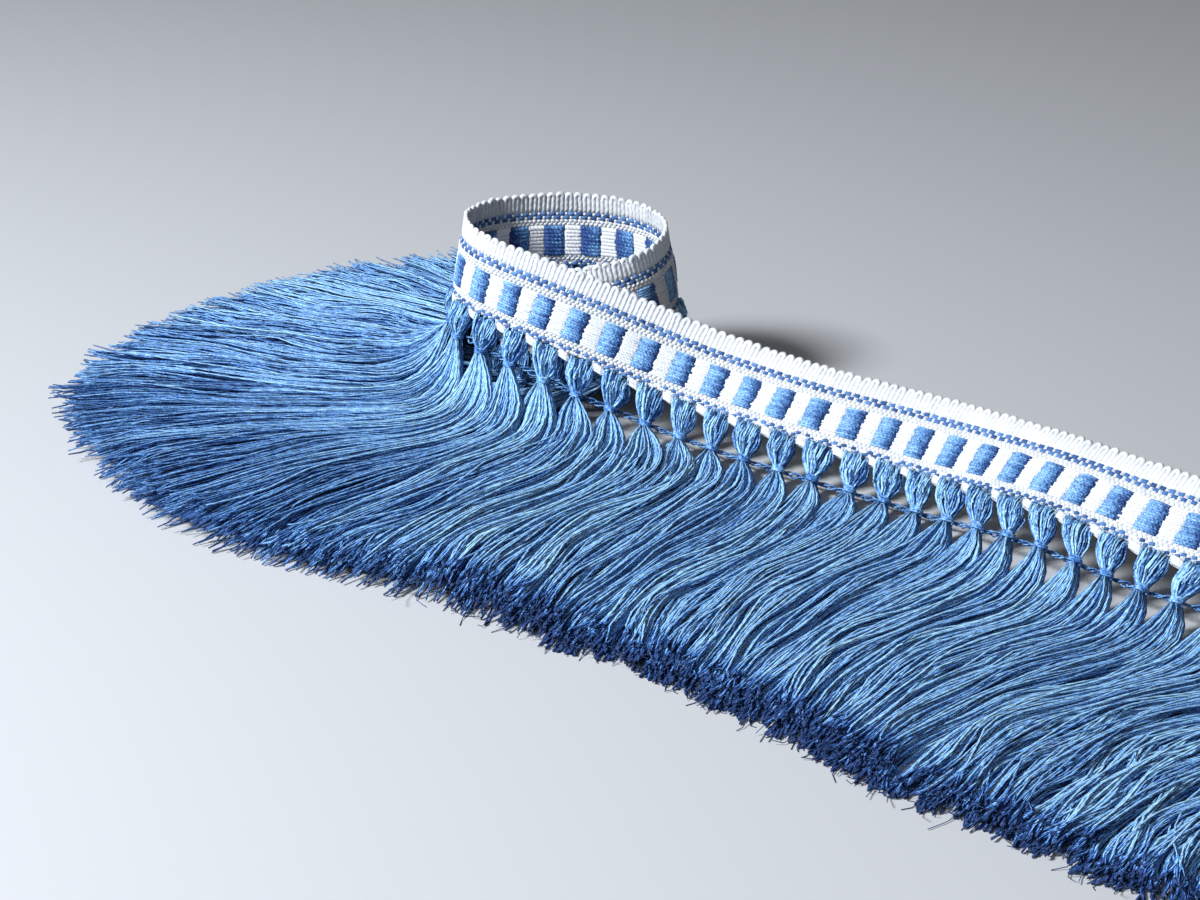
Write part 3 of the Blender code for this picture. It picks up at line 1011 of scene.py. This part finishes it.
def skirt_lines(centre, across, shares, layer, keep):
    """Threads of a skirt. across is the place in repeats, layer the height from 0 to 1, at each share.

    keep is the part of the lift over the layer below that is left at the tips.
    """
    stations = centre + PITCH * across * spread(shares)
    stations = stations + sway(stations, shares) / (1 + 1.3 * (fan_out(centre) - 1) * shares)
    plan = skirt_plan(centre, stations, shares)
    start, along, down, out = head_axes(centre)
    knot = start + down * (KNOT_AT + SKIRT_FROM) + along * column(KNOT_SHIFTS, centre, 1)
    turned = -1.0 if INNER_UNTIL <= centre < RIGHT_UNTIL else 1.0
    settle = UNDER_SETTLE if centre < RIGHT_UNTIL else OUTER_SETTLE
    falling = (1 - np.clip(shares / settle, 0, 1)) ** 2
    depth = turned * (layer - 0.5) * column(SKIRT_HEIGHTS, 0.0, 1)
    plan = plan + out[:2] * (depth * falling)[..., None]
    piled = THREAD_RADIUS + layer * (column(SKIRT_HEIGHTS, shares, 1) - 2 * THREAD_RADIUS)
    rest = resting_height(centre, shares) * (1 - keep) + resting_height(centre, 0 * shares) * keep
    height = (rest + piled) * (1 - falling) + (knot[2] + depth * out[2]) * falling
    return np.concatenate([plan, height[..., None]], -1)


def waves(rng, count, strength, slow, fast):
    """Smooth wander of threads, none at the knot. slow and fast are cycles in a skirt's length."""
    out = np.zeros((count, THREAD_POINTS))
    for _ in range(2):
        rate = rng.uniform(slow, fast, (count, 1))
        height = rng.normal(0, strength, (count, 1))
        phase = rng.random((count, 1))
        out += height * np.sin(2 * np.pi * (rate * THREAD_SHARES + phase))
    return out * ramp(THREAD_SHARES, *WANDERING)


def lock_lines(rng, locks, calm):
    """The place of each lock's middle, in repeats, and the height of its crest, from 0 to 1."""
    place = (np.arange(locks) + 0.5) / locks - 0.5 + rng.normal(0, 0.28 / locks, locks)
    path = place[:, None] + calm * waves(rng, locks, 0.055, 0.8, 2.2)
    crest = rng.uniform(0.55, 1.0, locks)[:, None] + waves(rng, locks, 0.09, 0.6, 1.6)
    return path, crest


def lock_threads(rng, path, crest, threads, fan, calm):
    """Threads over the arch of each lock: their places and heights, and their angles on the arch."""
    locks = len(path)
    owner = np.repeat(np.arange(locks), threads)
    count = len(owner)
    step = (np.arange(threads) + 0.5) / threads
    arch = np.tile(step, locks) * np.pi * 1.12 - 0.06 * np.pi
    arch = arch[:, None] + rng.normal(0, 0.12, (count, 1)) + waves(rng, count, 0.24, 0.5, 1.8)
    wide = rng.uniform(0.45, 0.85, (locks, 1)) * (1 + 0.4 * min((fan - 1) / 2, 1)) / locks
    across = path[owner] + np.cos(arch) * wide[owner]
    across = across + calm * waves(rng, count, 0.018, 1.5, 4.0)
    across = across + calm * waves(rng, count, 0.014, 4.0, 7.0)
    deep = rng.choice([1.0, 0.85, 0.6], count)[:, None]
    layer = crest[owner] - 0.60 + 0.60 * np.sin(arch) * deep
    layer = layer + waves(rng, count, 0.04, 1.5, 5.0)
    return across, layer, arch


def stray_places(rng, calm):
    """Strays wander over the whole skirt and part towards their ends."""
    stray = rng.uniform(-0.5, 0.5, STRAYS)[:, None] + calm * waves(rng, STRAYS, 0.12, 0.5, 1.6)
    return stray + calm * rng.normal(0, 0.10, (STRAYS, 1)) * THREAD_SHARES**2


def cut_slant(centre):
    return FAN_SLANT + (CUT_SLANT - FAN_SLANT) * ramp(centre, *RAGGED)


def lay_threads(rng, centre, across, layer, owner):
    """The points of a skirt's threads, cut unevenly and aslant and flicked at their ends."""
    locks, count = owner.max() + 1, len(owner)
    settled = ramp(centre, *SETTLED)
    uneven = np.abs(rng.normal(0, 0.010, count)) + rng.normal(0, 0.022 - 0.014 * settled, locks)[owner]
    length = 0.992 - cut_slant(centre) * layer[:, -1] - uneven
    shares = np.minimum(THREAD_SHARES * length[:, None], 1.02)
    keep = np.clip(layer[:, -1:] + rng.normal(0.35 - 0.40 * settled, 0.15, (count, 1)), 0, 1)
    points = skirt_lines(centre, across, shares, layer, keep)
    sag = np.array([0, 0, 0.5 * ramp(centre, *RAGGED)])
    flick = rng.normal(0, 1, (count, 1, 3)) * np.array([0.9, 0.9, 0.6]) - sag
    points = points + flick * THREAD_ENDS[:, None]
    points[..., 2] = np.maximum(points[..., 2], THREAD_RADIUS * 1.1)
    return points


def thread_shades(rng, centre, owner, arch):
    """The threads' shades: random by lock and thread, with painted shade at the locks' sides, towards the
    tips in part of the fan and on the cut ends.
    """
    locks, count = owner.max() + 1, len(owner)
    shade = 0.70 + rng.normal(0, 0.09, locks)[owner] + rng.normal(0, 0.15, count)
    # Painted shade towards the tips of the skirts in part of the fan
    dark = ramp(centre, *PAINTED_FAN_SHADE_COMES) * (1 - ramp(centre, *PAINTED_FAN_SHADE_GOES))
    shade = shade[:, None] - 0.35 * dark * ramp(THREAD_SHARES, *FAN_PAINTED_SHADE)
    # Painted shade on the threads at the sides of each lock, between the locks
    shade[: len(arch)] -= 0.42 * (1 - np.clip(np.sin(arch), 0, 1))
    # Painted shade on the cut ends, deepest where the ends are ragged
    return shade - (0.12 + 0.88 * ramp(centre, *RAGGED)) * ramp(THREAD_SHARES, *CUT_PAINTED_SHADE)


def make_cores(centre, path, crest):
    """The flat cores within the locks, as wide as the gaps between them ask, in dark yarn that paints the
    shade under the threads.
    """
    share = np.linspace(0.03, 0.985, CORE_POINTS)
    path, crest = (
        np.stack([np.interp(share, THREAD_SHARES, row) for row in rows]) for rows in (path, crest)
    )
    shares = np.broadcast_to(share * (0.985 - cut_slant(centre) * 0.6), path.shape)
    layer = np.clip(crest * 0.5 - 0.22, 0.02, 1)
    points = skirt_lines(centre, path, shares, layer, 0.5 * (1 - ramp(centre, *SETTLED)))
    gap = np.linalg.norm(np.diff(points[:, :, :2], axis=0), axis=2).mean(0)
    girth = np.clip(gap * 0.70, 0.35, 2.4)
    girth[-1] *= 0.6
    points[..., 2] = np.maximum(points[..., 2], girth * 0.56)
    return tubes(points, girth, 4, UP, 0.4, flat=0.55, slot=1)


def make_fibres(rng, points, shade):
    """Short thin fibres that curl out of the cut ends."""
    pick = rng.choice(len(points), FIBRES, replace=False)
    end = points[pick, -1]
    ahead = unit(end - points[pick, -3])
    reach = rng.uniform(1.2, 3.4, (FIBRES, 1))
    turn = rng.normal(0, 1, (FIBRES, 3)) * np.array([0.8, 0.8, 0.6])
    first = end - ahead * 1.5
    middle = end + (ahead + 0.4 * turn) * reach * 0.5
    last = middle + (0.5 * ahead + turn) * reach * 0.6
    paths = np.stack([first, middle, last], 1)
    paths[..., 2] = np.maximum(paths[..., 2], 0.15)
    # Each fibre takes the painted shade of its thread's cut end, made lighter by a random amount
    return tubes(paths, FIBRE_RADIUS, 3, UP, shade[pick, -1] + rng.uniform(0.0, 0.35, FIBRES))


def make_skirt(rng, centre):
    """The threads of one tassel's skirt: locks with an arched top, strays over them and cores within."""
    fan = fan_out(centre)
    hidden = centre < RIGHT_UNTIL
    locks = HIDDEN_LOCKS if hidden else int(round(LOCKS * fan**FAN_POWER))
    threads = HIDDEN_THREADS_A_LOCK if hidden else THREADS_A_LOCK
    calm = (1 + 0.9 * ramp(centre, *RESTLESS)) / fan**0.5
    path, crest = lock_lines(rng, locks, calm)
    across, layer, arch = lock_threads(rng, path, crest, threads, fan, calm)
    across = np.concatenate([across, stray_places(rng, calm)])
    layer = np.clip(np.concatenate([layer, np.full((STRAYS, THREAD_POINTS), 1.02)]), 0.0, 1.08)
    owner = np.append(np.repeat(np.arange(locks), threads), np.arange(STRAYS) % locks)

    points = lay_threads(rng, centre, across, layer, owner)
    shade = thread_shades(rng, centre, owner, arch)
    ragged = ramp(centre, *RAGGED)
    swell = 1 + (0.60 * ragged - 0.38) * THREAD_ENDS
    radius = THREAD_RADIUS * rng.uniform(0.82, 1.12, len(owner))[:, None] * swell
    parts = [tubes(points, radius, 3, UP, shade)]
    if ragged > 0.5:
        parts.append(make_fibres(rng, points, shade))
    parts.append(make_cores(centre, path, crest))
    return parts


def make_skirts(rng):
    """The skirts, joined in groups that stay small enough to handle."""
    stations = tassel_stations()
    pieces = []
    for number, (first, last) in enumerate(zip(GROUPS, GROUPS[1:]), 1):
        parts = []
        for centre in stations[first:last]:
            parts += make_skirt(rng, centre)
        pieces.append(make_piece(f"tassel_skirts_{number}", parts, [SKIRT_BLUE, CORE_BLUE_PAINTED_SHADE]))
    return pieces


def make_cord(rng):
    """The cord behind the knots: strands that lie together at the knots and a little apart between them."""
    stations = tassel_stations()
    start, along, down, out = head_frame(stations)
    line = start + down * KNOT_AT - out * CORD_BEHIND + along * column(KNOT_SHIFTS, stations, 1)[:, None]
    steps = (len(stations) - 1) * CORD_STEPS + 1
    middle = bent(line[None], steps)[0]
    forward = unit(np.gradient(middle, axis=0))
    side = unit(np.cross(forward, UP))
    up = np.cross(side, forward)
    place = np.arange(steps) / CORD_STEPS
    loose = 0.35 + 0.75 * np.sin(np.pi * place) ** 2
    parts = []
    for strand in range(CORD_STRANDS):
        angle = place * PITCH / CORD_LAY * 2 * np.pi + strand * 2 * np.pi / CORD_STRANDS
        wander = bent(rng.normal(0, 0.35, (1, len(stations), 3)), steps)[0]
        circle = side * np.cos(angle)[:, None] + up * np.sin(angle)[:, None]
        points = middle + 0.7 * loose[:, None] * (circle + wander)
        parts.append(tubes(points[None], STRAND_RADIUS, 3, UP, 0.25 + 0.12 * strand))
    return make_piece("tie_cord_plies", parts, [HEAD_BLUE])


# The studio


def make_floor():
    mesh = bpy.data.meshes.new("studio_floor")
    corners = [(x * FLOOR_HALF, y * FLOOR_HALF, 0) for x, y in ((-1, -1), (1, -1), (1, 1), (-1, 1))]
    mesh.from_pydata(corners, [], [(0, 1, 2, 3)])
    material = bpy.data.materials.new("pale_floor")
    material.use_nodes = True
    shader = material.node_tree.nodes["Principled BSDF"]
    shader.inputs["Base Color"].default_value = FLOOR_GREY
    shader.inputs["Roughness"].default_value = 0.9
    mesh.materials.append(material)
    floor = bpy.data.objects.new("studio_floor", mesh)
    bpy.context.scene.collection.objects.link(floor)


def make_lights():
    """Two square lamps turned to the loop, and a weak sky."""
    for name, place, size, power, colour in LAMPS:
        light = bpy.data.lights.new(name, "AREA")
        light.color = colour
        light.shape = "SQUARE"
        light.size = size
        light.energy = power
        lamp = bpy.data.objects.new(name, light)
        lamp.location = place
        lamp.rotation_euler = (Vector(LIT_POINT) - Vector(place)).to_track_quat("-Z", "Y").to_euler()
        bpy.context.scene.collection.objects.link(lamp)
    world = bpy.data.worlds.new("studio")
    bpy.context.scene.world = world
    world.use_nodes = True
    background = world.node_tree.nodes["Background"]
    background.inputs["Color"].default_value = SKY_COLOUR
    background.inputs["Strength"].default_value = SKY_STRENGTH
    bpy.context.scene.view_settings.view_transform = "Standard"


def make_camera():
    data = bpy.data.cameras.new("camera")
    data.sensor_fit = "HORIZONTAL"
    data.sensor_width = 36.0
    data.lens = CAMERA_LENS
    data.clip_start = 0.01
    camera = bpy.data.objects.new("camera", data)
    ahead = np.array(CAMERA_AHEAD)
    right = np.array(CAMERA_RIGHT)
    right = unit(right - ahead * (right @ ahead))
    matrix = np.eye(4)
    matrix[:3, :3] = np.column_stack([right, np.cross(right, ahead), -ahead])
    matrix[:3, 3] = (np.array(CAMERA_PLACE) - BOX_CENTRE) * MM
    camera.matrix_world = Matrix(matrix.tolist())
    bpy.context.scene.collection.objects.link(camera)
    bpy.context.scene.camera = camera


def main():
    rng = np.random.default_rng(12)
    cloth = make_cloth()
    reliefs = [make_picots(rng), make_stitches(rng), make_floats(rng), make_tabs(rng)]
    heads = make_heads(rng)
    skirts = make_skirts(rng)
    cord = make_cord(rng)
    for piece in [cloth, *reliefs, heads, *skirts, cord]:
        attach(piece, "root")
    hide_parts("heading_tape")
    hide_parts("tie_cord")
    names = [f"tassel_{number:02d}" for number in range(1, len(tassel_stations()) + 1)]
    for piece, first, last in zip(skirts, GROUPS, GROUPS[1:]):
        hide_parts(*names[first:last])
    make_floor()
    make_lights()
    make_camera()


main()
